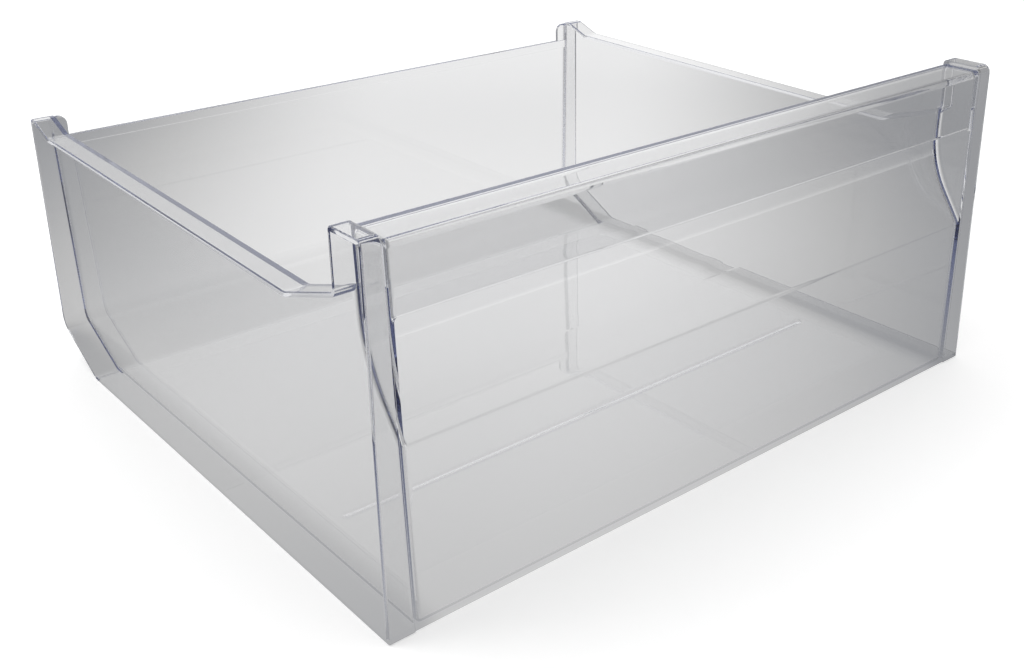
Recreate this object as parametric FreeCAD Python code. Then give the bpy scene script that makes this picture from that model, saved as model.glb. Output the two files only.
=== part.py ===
"""Clear refrigerator drawer, moulded in one piece: a box with a full-width pull and flanged sides.

Millimetres. The origin is under the middle of the drawer, +X to the right, +Y to the back, +Z up.
Outlines are drawn in the side view as (run, height): run goes back from the flanges' front, height up
from the underside.
"""
import FreeCAD, Part
import math
import os

# Overall size
WIDTH = 450.0
DEPTH = 393.0
HEIGHT = 200.0

# Thickness of the walls, and of the flange round each side
WALL = 2.5
FLANGE = 2.5

# How far each side's flange stands proud of the front wall, and of the pull's top
FRONT_STEP = 0.6
TOP_STEP = 2.4

# Side walls: how far they stand in from the flange's outer edge, at the bottom and at the top
INSET_BOTTOM = 14.4
INSET_TOP = 9.9

# Side outline: heights are drops from the flange's top, runs are from the front or back
PULL_DEPTH = 27.3
SHOULDER_DROP = 31.0
KNEE_RUN = 72.0
KNEE_DROP = 45.7
RIM_BACK_DROP = 41.5
LUG_LENGTH = 7.0
LUG_RAMP = 19.0
LUG_RISE = 7.0
HEEL_RUN = 46.0
HEEL_HEIGHT = 23.5

# Back wall's top edge, its thicker band, and the upstands that carry it up to a step under the lugs' tops
BACK_DROP = 49.0
BAND_HEIGHT = 6.0
BAND_PROUD = 0.8
UPSTAND_WIDTH = 8.0
UPSTAND_STEP = 1.0
UPSTAND_ROUND = 6.0

# Finger recess: where it leaves the front wall, its slope from upright in degrees, and the lip over it
RECESS_DROP = 100.1
RECESS_SLOPE = 34.0
LIP_HEIGHT = 36.2

# Bead across the floor, a low lens in section
BEAD_MARGIN = 39.0
BEAD_RUN = 104.5
BEAD_WIDTH = 7.0
BEAD_RISE = 0.6

# Rounds of corners in the side view
TOE_ROUND = 1.0
BROW_ROUND = 5.0
PULL_BROW_ROUND = 3.2
PULL_BACK_ROUND = 2.5
SHOULDER_ROUND = 3.0
KNEE_ROUND = 14.0
LUG_ROUND = 5.0
HEEL_ROUND = 10.0
RECESS_ROUND = 70.0
RECESS_FOOT_ROUND = 2.0
ROOF_ROUND = 3.5

# Largest share of a side that the round at one of its ends may take
ROUND_SHARE = 0.49

# Rounds along the side walls, inside the box and in the finger recess, and on the flange's outer edges
INNER_ROUND = 3.0
RECESS_SIDE_ROUND = 2.0
EDGE_ROUND = 0.7

# How far cutting solids run past what they cut, and how near counts as touching
CLEAR = 5.0
TOUCH = 0.01

FRONT = -DEPTH / 2
BACK = DEPTH / 2


def inset(height):
    """Distance from the flange's outer edge to the side wall's outer face at a height."""
    return INSET_BOTTOM + (INSET_TOP - INSET_BOTTOM) * height / HEIGHT


def side_point(run, height):
    """Point of the side view, on the drawer's middle plane."""
    return FreeCAD.Vector(0, FRONT + run, height)


def front_point(x, height):
    """Point of the front view, on the plane of the flanges' front."""
    return FreeCAD.Vector(x, FRONT, height)


def rounded_wire(corners, place):
    """Closed wire through (first, second, round) corners, each corner rounded by a tangent arc.

    A round is limited to a share of the shorter side that meets at its corner.
    """
    spots = [place(first, second) for first, second, _ in corners]
    edges = []
    joints = []
    for index, (_, _, radius) in enumerate(corners):
        here = spots[index]
        back = spots[index - 1] - here
        ahead = spots[(index + 1) % len(spots)] - here
        half = back.getAngle(ahead) / 2
        reach = min(radius / math.tan(half), ROUND_SHARE * min(back.Length, ahead.Length))
        back.normalize()
        ahead.normalize()
        first = here + back * reach
        second = here + ahead * reach
        if reach > 0:
            radius = reach * math.tan(half)
            toward = (back + ahead).normalize()
            middle = here + toward * (radius / math.sin(half) - radius)
            edges.append(Part.Arc(first, middle, second).toShape())
        joints.append((first, second))
    for index, (first, _) in enumerate(joints):
        edges.append(Part.LineSegment(joints[index - 1][1], first).toShape())
    return Part.Wire(Part.__sortEdges__(edges))


def across(wire):
    """Solid swept from a side view outline across the drawer's width."""
    face = Part.Face(wire)
    face.translate(FreeCAD.Vector(-WIDTH / 2, 0, 0))
    return face.extrude(FreeCAD.Vector(WIDTH, 0, 0))


def between_sides(thickness):
    """Space between the side walls, measured this deep into each wall from its outer face."""
    low = -CLEAR
    high = HEIGHT + 2 * CLEAR
    half_low = WIDTH / 2 - inset(low) - thickness
    half_high = WIDTH / 2 - inset(high) - thickness
    corners = [(-half_low, low, 0), (half_low, low, 0), (half_high, high, 0), (-half_high, high, 0)]
    face = Part.Face(rounded_wire(corners, front_point))
    face.translate(FreeCAD.Vector(0, -CLEAR, 0))
    return face.extrude(FreeCAD.Vector(0, DEPTH + 2 * CLEAR, 0))


def edges_along_sides(solid, nearest_run, ceiling):
    """Edges of a solid where it meets the side walls, from a run back and starting below a ceiling."""
    found = []
    for edge in solid.Edges:
        box = edge.BoundBox
        beside_wall = box.XMin > 0 or box.XMax < 0
        behind = box.YMin > FRONT + nearest_run - TOUCH
        if beside_wall and behind and box.ZMin < ceiling - TOUCH:
            found.append(edge)
    return found


def side_outline(front, pull_top, brow_round):
    """Outline of a side, from the toe up the front, over the pull, along the rim and down the back."""
    rim_back = HEIGHT - RIM_BACK_DROP
    lug_top = rim_back + LUG_RISE
    return rounded_wire([
        (front, 0, TOE_ROUND),
        (front, pull_top, brow_round),
        (PULL_DEPTH, pull_top, PULL_BACK_ROUND),
        (PULL_DEPTH, HEIGHT - SHOULDER_DROP, SHOULDER_ROUND),
        (KNEE_RUN, HEIGHT - KNEE_DROP, KNEE_ROUND),
        (DEPTH - LUG_LENGTH - LUG_RAMP, rim_back, LUG_ROUND),
        (DEPTH - LUG_LENGTH, lug_top, LUG_ROUND),
        (DEPTH, lug_top, LUG_ROUND),
        (DEPTH, HEEL_HEIGHT, HEEL_ROUND),
        (DEPTH - HEEL_RUN, 0, HEEL_ROUND),
    ], side_point)


def flange_outline():
    """Outline of the flange round a side."""
    return side_outline(0, HEIGHT, BROW_ROUND)


def box_outline():
    """Outline of the box between the sides, whose front and pull's top lie a step inside the flange."""
    return side_outline(FRONT_STEP, HEIGHT - TOP_STEP, PULL_BROW_ROUND)


def recess_bend(run):
    """Height where the recess wall's slope, carried on, would reach this run behind the front wall."""
    return HEIGHT - RECESS_DROP + (run - FRONT_STEP) / math.tan(math.radians(RECESS_SLOPE))


def interior():
    """Space inside the box, behind the recess wall and over the floor, rounded along the side walls."""
    top = HEIGHT + CLEAR
    front = FRONT_STEP + WALL
    slope = math.radians(RECESS_SLOPE)
    heel = math.atan(HEEL_HEIGHT / HEEL_RUN)
    foot = HEIGHT - RECESS_DROP - WALL * math.tan(slope / 2)
    bend = recess_bend(PULL_DEPTH - WALL) - WALL * math.tan(slope / 2)
    outline = rounded_wire([
        (front, WALL, INNER_ROUND),
        (front, foot, RECESS_FOOT_ROUND),
        (PULL_DEPTH, bend, RECESS_ROUND + WALL),
        (PULL_DEPTH, top, 0),
        (DEPTH - WALL, top, 0),
        (DEPTH - WALL, HEEL_HEIGHT + WALL * math.tan((math.pi / 2 - heel) / 2), HEEL_ROUND + WALL),
        (DEPTH - HEEL_RUN - WALL * math.tan(heel / 2), WALL, HEEL_ROUND + WALL),
    ], side_point)
    space = across(outline).common(between_sides(WALL))
    return space.makeFillet(INNER_ROUND, edges_along_sides(space, front, top))


def recess():
    """Finger space under the pull, open at the front between the front wall and the lip's rounded end."""
    run = PULL_DEPTH - WALL
    pull_top = HEIGHT - TOP_STEP
    roof = pull_top - FLANGE
    lip_bottom = pull_top - LIP_HEIGHT
    lip_back = FRONT_STEP + WALL
    foot = HEIGHT - RECESS_DROP
    foot_round = RECESS_FOOT_ROUND + WALL
    outline = rounded_wire([
        (FRONT_STEP, foot, foot_round),
        (run, recess_bend(run), RECESS_ROUND),
        (run, roof, ROOF_ROUND),
        (lip_back, roof, PULL_BROW_ROUND - FLANGE / 2),
        (lip_back, lip_bottom, WALL / 2),
        (FRONT_STEP, lip_bottom, WALL / 2),
        (FRONT_STEP, lip_bottom + WALL, 0),
        (-CLEAR, lip_bottom + WALL, 0),
        (-CLEAR, foot - foot_round, 0),
        (FRONT_STEP, foot - foot_round, 0),
    ], side_point)
    space = across(outline).common(between_sides(WALL))
    return space.makeFillet(RECESS_SIDE_ROUND, edges_along_sides(space, FRONT_STEP + TOUCH, pull_top))


def side_pockets():
    """Spaces outside the two side walls, within the flange that runs round each side."""
    return across(flange_outline().makeOffset2D(-FLANGE)).cut(between_sides(0))


def back_opening():
    """Space over the back wall, between the rounded upstands at the two back corners."""
    low = HEIGHT - BACK_DROP
    upstand_top = HEIGHT - RIM_BACK_DROP + LUG_RISE - UPSTAND_STEP
    inner = WIDTH / 2 - inset(low) - WALL - UPSTAND_WIDTH
    outer = WIDTH / 2
    face = Part.Face(rounded_wire([
        (-inner, low, 0),
        (inner, low, 0),
        (inner, upstand_top, UPSTAND_ROUND),
        (outer, upstand_top, 0),
        (outer, HEIGHT, 0),
        (-outer, HEIGHT, 0),
        (-outer, upstand_top, 0),
        (-inner, upstand_top, UPSTAND_ROUND),
    ], front_point))
    face.translate(FreeCAD.Vector(0, DEPTH - WALL - INNER_ROUND, 0))
    return face.extrude(FreeCAD.Vector(0, WALL + INNER_ROUND + CLEAR, 0)).common(between_sides(WALL))


def back_band():
    """Thicker band along the back wall's top edge."""
    top = HEIGHT - BACK_DROP
    half = WIDTH / 2 - inset(top) - WALL
    band = Part.makeBox(2 * half, WALL, BAND_HEIGHT)
    band.translate(FreeCAD.Vector(-half, BACK - WALL - BAND_PROUD, top - BAND_HEIGHT))
    return band


def floor_bead():
    """Low bead across the floor: a long lens with round ends, rooted in the floor."""
    radius = (BEAD_WIDTH ** 2 / 4 + BEAD_RISE ** 2) / (2 * BEAD_RISE)
    half = WIDTH / 2 - BEAD_MARGIN - BEAD_WIDTH / 2
    y = FRONT + BEAD_RUN
    centre = WALL + BEAD_RISE - radius
    bar = Part.makeCylinder(radius, 2 * half, FreeCAD.Vector(-half, y, centre), FreeCAD.Vector(1, 0, 0))
    ends = [Part.makeSphere(radius, FreeCAD.Vector(x, y, centre)) for x in (-half, half)]
    root = WALL / 2
    slab = Part.makeBox(WIDTH, 2 * radius, root + BEAD_RISE)
    slab.translate(FreeCAD.Vector(-WIDTH / 2, y - radius, WALL - root))
    return bar.fuse(ends).common(slab).removeSplitter()


def flange_edges(body):
    """Edges round the outside of the two flanges' outer faces."""
    rims = [face for face in body.Faces if abs(face.CenterOfMass.x) > WIDTH / 2 - TOUCH]
    return [edge for rim in rims for edge in rim.OuterWire.Edges]


def drawer_body():
    """The whole moulding."""
    sides = across(flange_outline()).cut(between_sides(0))
    box = across(box_outline()).common(between_sides(0))
    body = sides.fuse(box).removeSplitter()
    body = body.cut([interior(), recess(), side_pockets(), back_opening()])
    body = body.fuse([back_band(), floor_bead()]).removeSplitter()
    return body.makeFillet(EDGE_ROUND, flange_edges(body))


def main():
    """Builds the drawer and writes its STEP file."""
    os.makedirs("parts", exist_ok=True)
    body = drawer_body()
    print("solids", len(body.Solids), "valid", body.isValid(), "volume", round(body.Volume / 1000), "cm3")
    body.Solids[0].exportStep("parts/drawer_body.step")


main()
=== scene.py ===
"""Studio view of a clear refrigerator drawer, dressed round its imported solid."""

import logging
import math
from dataclasses import dataclass, field
from enum import Enum
from typing import Any

import bpy
from mathutils import Euler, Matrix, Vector

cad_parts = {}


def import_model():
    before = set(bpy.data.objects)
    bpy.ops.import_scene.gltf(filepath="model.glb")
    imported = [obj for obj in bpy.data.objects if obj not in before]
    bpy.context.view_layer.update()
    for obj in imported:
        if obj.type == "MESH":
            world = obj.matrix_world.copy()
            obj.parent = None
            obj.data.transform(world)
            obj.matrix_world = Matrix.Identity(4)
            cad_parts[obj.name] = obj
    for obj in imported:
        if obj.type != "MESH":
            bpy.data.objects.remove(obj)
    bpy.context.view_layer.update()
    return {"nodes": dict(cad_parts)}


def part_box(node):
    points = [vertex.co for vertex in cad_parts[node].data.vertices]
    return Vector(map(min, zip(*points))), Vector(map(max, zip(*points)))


LOG = logging.getLogger("drawer")
MM = 0.001
WHITE = "#ffffff"

# The sockets of a mix node share their names, so those for colours go by number.
MIX_SHARE = 0
MIX_FIRST = 6
MIX_SECOND = 7
MIX_RESULT = 2

Tree = bpy.types.NodeTree
Socket = bpy.types.NodeSocket
Triple = tuple[float, float, float]


def linear(code: str) -> tuple[float, float, float, float]:
    """Turns an sRGB hex colour into the linear colour that a shader takes.

    Args:
        code: The colour as "#rrggbb".

    Returns:
        Red, green, blue and an alpha of one.
    """
    shares = [int(code[start:start + 2], 16) / 255 for start in (1, 3, 5)]
    red, green, blue = (s / 12.92 if s <= 0.04045 else ((s + 0.055) / 1.055) ** 2.4 for s in shares)
    return red, green, blue, 1.0


def empty_material(name: str) -> bpy.types.Material:
    """Makes a material with an empty node tree.

    Args:
        name: The material's name.

    Returns:
        The new material.
    """
    material = bpy.data.materials.new(name)
    material.use_nodes = True
    material.node_tree.nodes.clear()
    return material


def add_node(
    tree: Tree,
    kind: str,
    settings: dict[str | int, Any] | None = None,
    links: dict[str | int, Socket] | None = None,
) -> bpy.types.Node:
    """Adds a node with its settings and links.

    Args:
        tree: The node tree that takes it.
        kind: Blender's name for the kind of node.
        settings: Values by the name of an input, its number, or the name of a property.
        links: Output sockets by the name or number of the input that each one feeds.

    Returns:
        The new node.
    """
    node = tree.nodes.new(kind)
    for name, value in (settings or {}).items():
        if isinstance(name, int) or name in node.inputs:
            node.inputs[name].default_value = value
        else:
            setattr(node, name, value)
    for name, socket in (links or {}).items():
        tree.links.new(socket, node.inputs[name])
    return node


@dataclass(frozen=True)
class Fade:
    """A smooth change of level while a measure goes from start to end, held beyond them.

    Attributes:
        start: Where the change starts.
        end: Where it ends.
        before: The level up to the start.
        after: The level from the end on.
    """

    start: float = 0.0
    end: float = 1.0
    before: float = 0.0
    after: float = 1.0

    def moved(self, distance: float) -> "Fade":
        """Gives the same change, a distance further on."""
        return Fade(self.start + distance, self.end + distance, self.before, self.after)

    def settings(self) -> dict[str | int, Any]:
        """Gives the settings of a map range node that makes this change."""
        return {
            "interpolation_type": "SMOOTHSTEP",
            "From Min": self.start,
            "From Max": self.end,
            "To Min": self.before,
            "To Max": self.after,
        }


def faded(tree: Tree, *changes: tuple[Socket, Fade]) -> Socket:
    """Multiplies the levels of one or more fades.

    Args:
        tree: The node tree.
        changes: For each fade, the socket of its measure and the fade.

    Returns:
        The socket of the product.
    """
    levels = [
        add_node(tree, "ShaderNodeMapRange", fade.settings(), {"Value": measure}).outputs["Result"]
        for measure, fade in changes
    ]
    product = levels[0]
    for level in levels[1:]:
        node = add_node(tree, "ShaderNodeMath", {"operation": "MULTIPLY"}, {0: product, 1: level})
        product = node.outputs["Value"]
    return product


def in_plastic(tree: Tree, path: bpy.types.Node) -> Socket:
    """Tells what is seen in or through the plastic from what is seen or lit directly.

    Args:
        tree: The node tree.
        path: Its light path node.

    Returns:
        The socket of a value that is one for light that plastic mirrors or lets through, or else zero.
    """
    rays = {0: path.outputs["Is Glossy Ray"], 1: path.outputs["Is Transmission Ray"]}
    total = add_node(tree, "ShaderNodeMath", {"operation": "ADD", "use_clamp": True}, rays)
    return total.outputs["Value"]


@dataclass(frozen=True)
class ClearPolystyrene:
    """General purpose polystyrene, injection moulded between polished steel faces.

    Attributes:
        ior: The plastic's index of refraction.
        tint: The colour that each face lets through.
        depth_colour: The colour that light takes on along a wall.
        depth_density: How fast it does so, for each metre.
        roughness: The roughness of a face from a polished mould.
        ripple_mm: The width of the waves that shrinkage leaves in a face.
        ripple_rise_mm: Their height.
        ripple_octaves: How many finer sets of waves lie on them.
        ripple_gain: The height of a finer set, as a share.
    """

    ior: float = 1.59
    tint: str = "#fafafa"
    depth_colour: str = "#a6afd0"
    depth_density: float = 7.5
    roughness: float = 0.0
    ripple_mm: float = 26.0
    ripple_rise_mm: float = 0.012
    ripple_octaves: float = 1.0
    ripple_gain: float = 0.4

    def material(self) -> bpy.types.Material:
        """Builds the plastic.

        Returns:
            A clear material, blue-grey where light runs a long way along a wall.
        """
        # The eye gets clear walls that grey what lies behind them, blue-grey edges where a wall is seen
        # along its length, and a gloss that wavers a little, as on a large moulding.
        material = empty_material("clear_polystyrene_moulded")
        tree = material.node_tree
        waves = {
            "Scale": 1 / (self.ripple_mm * MM),
            "Detail": self.ripple_octaves,
            "Roughness": self.ripple_gain,
        }
        place = add_node(tree, "ShaderNodeTexCoord").outputs["Object"]
        ripple = add_node(tree, "ShaderNodeTexNoise", waves, {"Vector": place})
        bump = add_node(
            tree, "ShaderNodeBump",
            {"Strength": 1.0, "Distance": self.ripple_rise_mm * MM}, {"Height": ripple.outputs["Fac"]},
        )
        clear = {
            "Base Color": linear(self.tint),
            "IOR": self.ior,
            "Transmission Weight": 1.0,
            "Roughness": self.roughness,
        }
        surface = add_node(tree, "ShaderNodeBsdfPrincipled", clear, {"Normal": bump.outputs["Normal"]})
        depth = add_node(
            tree, "ShaderNodeVolumeAbsorption",
            {"Color": linear(self.depth_colour), "Density": self.depth_density},
        )
        add_node(
            tree, "ShaderNodeOutputMaterial", {},
            {"Surface": surface.outputs["BSDF"], "Volume": depth.outputs["Volume"]},
        )
        return material


@dataclass(frozen=True)
class Footprint:
    """An outline on the floor, as wide to the left as to the right, in metres.

    Attributes:
        side: How far it reaches to either side.
        front: The place of its front edge along +Y.
        back: The place of its back edge along +Y.
    """

    side: float
    front: float
    back: float

    @classmethod
    def under(cls, node: str) -> "Footprint":
        """Takes the outline of a node's box from the frame."""
        low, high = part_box(node)
        return cls(high.x, low.y, high.y)

    def inset(self, side_mm: float, front_mm: float, back_mm: float) -> "Footprint":
        """Gives the outline drawn in by a distance at the sides, the front and the back."""
        return Footprint(self.side - side_mm * MM, self.front + front_mm * MM, self.back - back_mm * MM)

    def corners(self, height: float) -> list[Triple]:
        """Gives the four corners in turn.

        Args:
            height: How high they lie.

        Returns:
            The corners from the left front one, to the right first.
        """
        return [
            (-self.side, self.front, height),
            (self.side, self.front, height),
            (self.side, self.back, height),
            (-self.side, self.back, height),
        ]


@dataclass
class Drawer:
    """The drawer, one moulding."""

    node: str = "drawer_body"
    slot: str = "clear_polystyrene"
    plastic: ClearPolystyrene = field(default_factory=ClearPolystyrene)

    def dress(self, nodes: dict[str, bpy.types.Object]) -> list[bpy.types.Object]:
        """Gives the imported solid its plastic.

        Args:
            nodes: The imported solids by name.

        Returns:
            The pieces that show.
        """
        body = nodes[self.node]
        plastic = self.plastic.material()
        for place in body.material_slots:
            place.material = plastic
        return [body]


@dataclass(frozen=True)
class PaperSweep:
    """Matt white paper, with a broad strip of painted light that runs under the drawer and away behind
    it.

    The camera sees plain white, with the shadow of what stands on it. Clear plastic shows the strip of
    painted light and shade, and what it mirrors is painted more dimly. Places and lengths are in metres.

    Attributes:
        footprint: The outline of the drawer that stands on it.
        colour: The paper's own colour.
        lift: The glow that takes lit paper up to white for the camera.
        strip_heading: The strip's direction in degrees, from +Y towards +X.
        strip_shift: How far its middle line lies to the right of the drawer's middle.
        strip_widening: How much wider each half of it is for each metre along it.
        strip_fade: Its brightness, by the distance from its middle line.
        near_fade: A factor of that, by the way along it, from before the drawer to its far side.
        far_fade: A factor of that, by the way along it, behind the drawer.
        horizon_fade: How it gives way to full white, by the distance from the drawer's middle.
        contact_share: The brightness left in the painted shadow under a flange, as a share.
        contact_inside: Where the shade under a flange starts, from the drawer's side.
        contact_outside: Where it ends, from the drawer's side.
        contact_front: Where it starts, from the drawer's front.
        contact_back: Where it ends, from the drawer's back.
        mirrored: The share of its brightness painted on the paper for what plastic mirrors, a painted
            dimming of the reflection.
        shade: The colour painted on dim paper, a cool tint of painted shade.
        shade_fade: How that colour gives way to white, by the brightness.
    """

    footprint: Footprint
    colour: str = "#f2f2f2"
    lift: float = 0.33
    strip_heading: float = 41.1
    strip_shift: float = -0.05
    strip_widening: float = 0.078
    strip_fade: Fade = Fade(0.068, 0.448, 1.0, 0.41)
    near_fade: Fade = Fade(-0.50, 0.22, 0.50, 0.87)
    far_fade: Fade = Fade(0.45, 0.95, 1.0, 1.10)
    horizon_fade: Fade = Fade(1.6, 5.0)
    contact_share: float = 0.75
    contact_inside: Fade = Fade(-40.0 * MM, -10.0 * MM)
    contact_outside: Fade = Fade(-1.0 * MM, 4.0 * MM, 1.0, 0.0)
    contact_front: Fade = Fade(-3.5 * MM, 0.5 * MM)
    contact_back: Fade = Fade(13.5 * MM, 63.5 * MM, 1.0, 0.0)
    mirrored: float = 0.85
    shade: str = "#f8faff"
    shade_fade: Fade = Fade(0.30, 0.55)

    def material(self) -> bpy.types.Material:
        """Builds the paper.

        Returns:
            A matt white material, with the strip of painted light and shade for what is seen through or
            in the plastic.
        """
        # The eye gets plain white round the drawer with a soft shadow, and through the plastic the greys
        # of painted light and shade on the paper, which give the clear walls their shape.
        material = empty_material("matt_paper_rolled")
        tree = material.node_tree
        path = add_node(tree, "ShaderNodeLightPath")
        place = add_node(tree, "ShaderNodeTexCoord").outputs["Object"]
        # Painted shadow under the flanges.
        shading = faded(
            tree,
            (self.painted_flange_shadow(tree, place), Fade(before=1.0, after=self.contact_share)),
            # Painted dimming of the paper in what plastic mirrors.
            (path.outputs["Is Transmission Ray"], Fade(before=self.mirrored)),
        )
        brightness = add_node(
            tree, "ShaderNodeMath", {"operation": "MULTIPLY"}, {0: self.strip(tree, place), 1: shading},
        ).outputs["Value"]
        # A cool tint of painted shade, where the painted light is dim.
        hue = add_node(
            tree, "ShaderNodeMix",
            {"data_type": "RGBA", MIX_FIRST: linear(self.shade), MIX_SECOND: linear(WHITE)},
            {MIX_SHARE: faded(tree, (brightness, self.shade_fade))},
        ).outputs[MIX_RESULT]
        # The paper glows with this painted light and shade for what the plastic mirrors or lets through;
        # no lamp lights it so.
        lit = add_node(tree, "ShaderNodeEmission", {}, {"Color": hue, "Strength": brightness})
        lift = faded(tree, (path.outputs["Is Camera Ray"], Fade(after=self.lift)))
        glow = add_node(tree, "ShaderNodeEmission", {"Color": linear(WHITE)}, {"Strength": lift})
        matt = add_node(tree, "ShaderNodeBsdfDiffuse", {"Color": linear(self.colour)})
        plain = add_node(
            tree, "ShaderNodeAddShader", {}, {0: matt.outputs["BSDF"], 1: glow.outputs["Emission"]},
        )
        both = add_node(
            tree, "ShaderNodeMixShader", {},
            {0: in_plastic(tree, path), 1: plain.outputs["Shader"], 2: lit.outputs["Emission"]},
        )
        add_node(tree, "ShaderNodeOutputMaterial", {}, {"Surface": both.outputs["Shader"]})
        return material

    def strip(self, tree: Tree, place: Socket) -> Socket:
        """Works out the brightness of the strip of painted light.

        Args:
            tree: The paper's node tree.
            place: The socket of the place on the paper.

        Returns:
            The socket of the painted brightness, one where the strip's painted light is full.
        """
        sine = math.sin(math.radians(self.strip_heading))
        cosine = math.cos(math.radians(self.strip_heading))
        aside, along = (
            add_node(
                tree, "ShaderNodeVectorMath", {"operation": "DOT_PRODUCT", 1: axis}, {0: place},
            ).outputs["Value"]
            for axis in ((cosine, -sine, 0.0), (sine, cosine, 0.0))
        )
        shifted = add_node(
            tree, "ShaderNodeMath", {"operation": "SUBTRACT", 1: self.strip_shift}, {0: aside},
        ).outputs["Value"]
        distance = add_node(
            tree, "ShaderNodeMath", {"operation": "ABSOLUTE"}, {0: shifted},
        ).outputs["Value"]
        widened = add_node(
            tree, "ShaderNodeMath", {"operation": "MULTIPLY_ADD", 1: -self.strip_widening},
            {0: along, 2: distance},
        ).outputs["Value"]
        level = faded(
            tree, (widened, self.strip_fade), (along, self.near_fade), (along, self.far_fade),
        )
        reach = add_node(
            tree, "ShaderNodeVectorMath", {"operation": "LENGTH"}, {0: place},
        ).outputs["Value"]
        return add_node(
            tree, "ShaderNodeMapRange", self.horizon_fade.settings(), {"Value": reach, "To Min": level},
        ).outputs["Result"]

    def painted_flange_shadow(self, tree: Tree, place: Socket) -> Socket:
        """Works out where the painted shadow of the two flanges falls on the paper.

        Args:
            tree: The paper's node tree.
            place: The socket of the place on the paper.

        Returns:
            The socket of a share, one under a flange and zero away from it.
        """
        parts = add_node(tree, "ShaderNodeSeparateXYZ", {}, {0: place}).outputs
        across = add_node(
            tree, "ShaderNodeMath", {"operation": "ABSOLUTE"}, {0: parts["X"]},
        ).outputs["Value"]
        return faded(
            tree,
            (across, self.contact_inside.moved(self.footprint.side)),
            (across, self.contact_outside.moved(self.footprint.side)),
            (parts["Y"], self.contact_front.moved(self.footprint.front)),
            (parts["Y"], self.contact_back.moved(self.footprint.back)),
        )


@dataclass(frozen=True)
class WhiteRoom:
    """A white room that lights the drawer from all round.

    The camera sees it as white. The plastic shows it darker in front, overhead and at the far right.

    Attributes:
        light: Its light on what is matt.
        back_fade: What the plastic shows of it, by a direction's part along +Y.
        overhead_fade: A factor of that, by the direction's part along +Z.
        right_fade: A factor of that, by the direction's part along +X.
    """

    light: float = 0.75
    back_fade: Fade = Fade(0.10, 0.65, 0.35, 1.0)
    overhead_fade: Fade = Fade(0.40, 0.70, 1.0, 0.65)
    right_fade: Fade = Fade(0.70, 0.82, 1.0, 0.62)

    def build(self) -> None:
        """Makes the room the scene's world."""
        world = bpy.data.worlds.new("white_room")
        world.use_nodes = True
        tree = world.node_tree
        tree.nodes.clear()
        path = add_node(tree, "ShaderNodeLightPath")
        heading = add_node(tree, "ShaderNodeTexCoord").outputs["Generated"]
        parts = add_node(tree, "ShaderNodeSeparateXYZ", {}, {0: heading}).outputs
        shown = faded(
            tree,
            (parts["Y"], self.back_fade), (parts["Z"], self.overhead_fade), (parts["X"], self.right_fade),
        )
        lighting = add_node(
            tree, "ShaderNodeMapRange", Fade(before=self.light).settings(),
            {"Value": in_plastic(tree, path), "To Max": shown},
        ).outputs["Result"]
        strength = add_node(
            tree, "ShaderNodeMapRange", Fade().settings(),
            {"Value": path.outputs["Is Camera Ray"], "To Min": lighting},
        ).outputs["Result"]
        light = add_node(tree, "ShaderNodeBackground", {"Color": linear(WHITE)}, {"Strength": strength})
        add_node(tree, "ShaderNodeOutputWorld", {}, {"Surface": light.outputs["Background"]})
        bpy.context.scene.world = world


class Lamp(Enum):
    """The soft boxes of the studio."""

    KEY = "key_soft_box"
    FILL = "fill_soft_box"


@dataclass(frozen=True)
class SoftBox:
    """A square soft box that points at the drawer, and that the plastic doesn't show.

    Attributes:
        lamp: Which soft box it is.
        place: Where it hangs, in metres.
        size: The length of its side in metres.
        watts: Its power.
    """

    lamp: Lamp
    place: Triple
    size: float
    watts: float

    def build(self) -> None:
        """Hangs the soft box."""
        data = bpy.data.lights.new(self.lamp.value, "AREA")
        data.size = self.size
        data.energy = self.watts
        box = bpy.data.objects.new(self.lamp.value, data)
        box.location = self.place
        box.visible_glossy = False
        box.visible_transmission = False
        box.rotation_euler = (-Vector(self.place)).to_track_quat("-Z", "Y").to_euler()
        bpy.context.scene.collection.objects.link(box)


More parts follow.
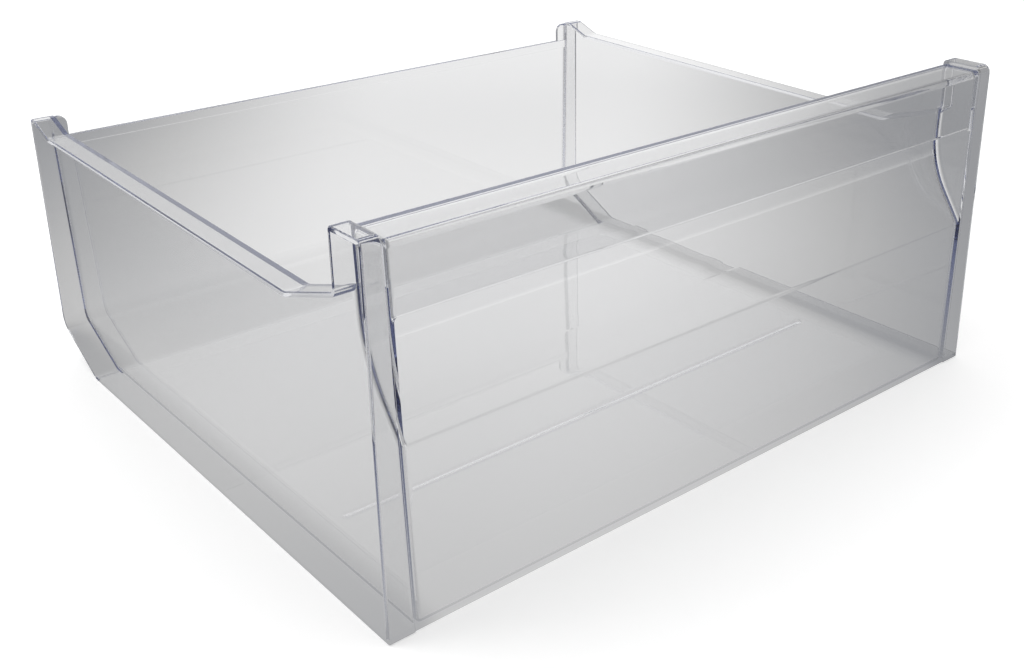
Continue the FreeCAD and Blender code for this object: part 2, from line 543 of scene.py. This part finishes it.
@dataclass
class Studio:
    """The paper, the room and the soft boxes round the drawer.

    Attributes:
        footprint: The drawer's outline on the floor.
        paper_size: The side of the paper in metres.
        settle_mm: How far the paper lies below the drawer.
        press_mm: How far its border presses into the drawer's underside.
        border_outer_mm: How far in from the outline's side, front and back the border starts.
        border_inner_mm: How far in it ends.
        wall_bounces: How often light may turn in all, and how often by mirroring.
        clear_bounces: How often it may pass through a face.
        matt_bounces: How often it may turn at the paper.
        room: The room.
        soft_boxes: The soft boxes.
    """

    footprint: Footprint
    paper_size: float = 12.0
    settle_mm: float = 0.2
    press_mm: float = 0.3
    border_outer_mm: Triple = (0.2, 1.0, 49.5)
    border_inner_mm: Triple = (35.0, 36.5, 66.5)
    wall_bounces: int = 256
    clear_bounces: int = 64
    matt_bounces: int = 2
    room: WhiteRoom = WhiteRoom()
    soft_boxes: tuple[SoftBox, ...] = (
        SoftBox(Lamp.KEY, (-0.9, 0.7, 1.6), 1.2, 10.0),
        SoftBox(Lamp.FILL, (1.4, -0.6, 1.3), 1.0, 5.0),
    )

    def build(self) -> None:
        """Sets up the paper, the room and the soft boxes."""
        self.lay_paper()
        self.room.build()
        for soft_box in self.soft_boxes:
            soft_box.build()
        self.light_paths()

    def lay_paper(self) -> None:
        """Lays the paper under the drawer, with a border that presses on its underside.

        Light that runs inside the drawer's floor meets the border before it comes to an edge, where it
        would be lost and look dark.
        """
        half = self.paper_size / 2
        sheet = Footprint(half, -half, half).corners(-self.settle_mm * MM)
        outer = self.footprint.inset(*self.border_outer_mm).corners(self.press_mm * MM)
        inner = self.footprint.inset(*self.border_inner_mm).corners(self.press_mm * MM)
        count = len(sheet)
        faces = [tuple(range(count))]
        for turn in range(count):
            from_outer = count + turn
            to_outer = count + (turn + 1) % count
            faces.append((from_outer, to_outer, to_outer + count, from_outer + count))
        mesh = bpy.data.meshes.new("paper_sweep")
        mesh.from_pydata(sheet + outer + inner, [], faces)
        mesh.materials.append(PaperSweep(self.footprint).material())
        paper = bpy.data.objects.new("paper_sweep", mesh)
        bpy.context.scene.collection.objects.link(paper)

    def light_paths(self) -> None:
        """Lets light run the length of a wall between its two faces, as it does in clear plastic."""
        cycles = bpy.context.scene.cycles
        cycles.max_bounces = self.wall_bounces
        cycles.glossy_bounces = self.wall_bounces
        cycles.transmission_bounces = self.clear_bounces
        cycles.diffuse_bounces = self.matt_bounces


@dataclass(frozen=True)
class PhotoCamera:
    """The camera at the photograph's place.

    Attributes:
        place: Where it stands, in metres.
        heading: Its direction in degrees, from +Y towards +X.
        dip: How far it looks down, in degrees.
        focal_px: Its focal length in pixels of the image.
        axis_px: Where its axis meets the image, from the upper left corner.
        image_px: The width and height of the image.
        sensor_mm: The width of its sensor.
    """

    place: Triple = (-0.4711, -0.6161, 0.3908)
    heading: float = 40.95
    dip: float = 21.89
    focal_px: float = 1282.2
    axis_px: tuple[float, float] = (583.4, 245.7)
    image_px: tuple[float, float] = (1024.0, 669.0)
    sensor_mm: float = 36.0

    def build(self) -> None:
        """Sets up the camera and makes it the scene's own."""
        width, height = self.image_px
        data = bpy.data.cameras.new("photo_camera")
        data.sensor_width = self.sensor_mm
        data.lens = self.focal_px * self.sensor_mm / width
        data.shift_x = (width / 2 - self.axis_px[0]) / width
        data.shift_y = (self.axis_px[1] - height / 2) / width
        camera = bpy.data.objects.new("photo_camera", data)
        camera.location = self.place
        camera.rotation_euler = Euler((math.radians(90 - self.dip), 0, math.radians(-self.heading)))
        bpy.context.scene.collection.objects.link(camera)
        bpy.context.scene.camera = camera


def main() -> None:
    """Builds the scene and reports each piece."""
    logging.basicConfig(level=logging.INFO, format="%(name)s: %(message)s")
    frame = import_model()
    bpy.context.scene.view_settings.view_transform = "Standard"
    drawer = Drawer()
    for piece in drawer.dress(frame["nodes"]):
        LOG.info("%s, %d faces", piece.name, len(piece.data.polygons))
    Studio(Footprint.under(drawer.node)).build()
    PhotoCamera().build()


if __name__ == "__main__":
    main()
